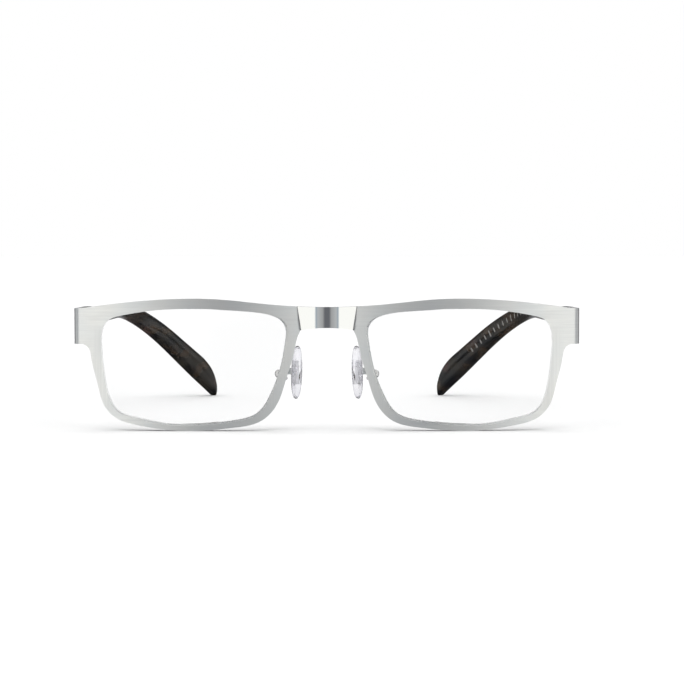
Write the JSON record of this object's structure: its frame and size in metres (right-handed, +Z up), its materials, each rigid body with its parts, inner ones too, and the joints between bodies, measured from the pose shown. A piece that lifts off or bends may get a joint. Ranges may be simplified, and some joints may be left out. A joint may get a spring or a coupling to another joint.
{
  "type": "eyeglasses",
  "caption": "Full-rim rectangular metal eyeglasses with a brushed front, polished bridge, clear nose pads and folding temples with dark ear tips.",
  "frame": {"origin": "on the surface the glasses stand on, under the middle of their box", "axes": "+Z up, the front faces -Y, the temples run back along +Y, +X is the wearer's left"},
  "size_m": [0.138, 0.1366, 0.0364],
  "materials": {
    "brushed_sheet": "brushed along the rim",
    "polished_steel": "mirror polished",
    "wire_steel": "satin",
    "screw_steel": "turned and polished",
    "lens_plastic": "clear, anti-reflection coated",
    "clear_silicone": "clear silicone",
    "insert_plastic": "clear moulded",
    "washer_nylon": "plain",
    "acetate": "polished dark brown acetate"
  },
  "bodies": {
    "front": {"bridge": "polished_steel", "front_plate_left": "brushed_sheet", "eyewire_left": "wire_steel", "lens_left": "lens_plastic", "lock_blocks_left": "wire_steel", "lock_screw_left": "screw_steel", "pad_arm_left": "wire_steel", "pad_box_left": "wire_steel", "pad_screw_left": "screw_steel", "hinge_front_left": "wire_steel", "hinge_washers_left": "washer_nylon", "hinge_screw_left": "screw_steel", "front_plate_right": "brushed_sheet", "eyewire_right": "wire_steel", "lens_right": "lens_plastic", "lock_blocks_right": "wire_steel", "lock_screw_right": "screw_steel", "pad_arm_right": "wire_steel", "pad_box_right": "wire_steel", "pad_screw_right": "screw_steel", "hinge_front_right": "wire_steel", "hinge_washers_right": "washer_nylon", "hinge_screw_right": "screw_steel"},
    "temple_left": {"temple_bar_left": "brushed_sheet", "hinge_temple_left": "wire_steel", "temple_core_left": "wire_steel", "temple_tip_left": "acetate"},
    "pad_left": {"nose_pad_left": "clear_silicone", "pad_insert_left": "insert_plastic"},
    "temple_right": {"temple_bar_right": "brushed_sheet", "hinge_temple_right": "wire_steel", "temple_core_right": "wire_steel", "temple_tip_right": "acetate"},
    "pad_right": {"nose_pad_right": "clear_silicone", "pad_insert_right": "insert_plastic"}
  },
  "joints": [
    {"name": "temple_fold_left", "type": "hinge", "parent": "front", "child": "temple_left", "pos_m": [0.0664, -0.05616, 0.0282], "axis": [0, 0, 1], "range_deg": [0, 76]},
    {"name": "temple_fold_right", "type": "hinge", "parent": "front", "child": "temple_right", "pos_m": [-0.0664, -0.05616, 0.0282], "axis": [0, 0, -1], "range_deg": [0, 60]},
    {"name": "pad_rock_left", "type": "hinge", "parent": "front", "child": "pad_left", "pos_m": [0.0108, -0.05931, 0.0158], "axis": [0.1564, 0.9877, 0], "range_deg": [-8, 8]},
    {"name": "pad_rock_right", "type": "hinge", "parent": "front", "child": "pad_right", "pos_m": [-0.0108, -0.05931, 0.0158], "axis": [-0.1564, 0.9877, 0], "range_deg": [-8, 8]}
  ]
}
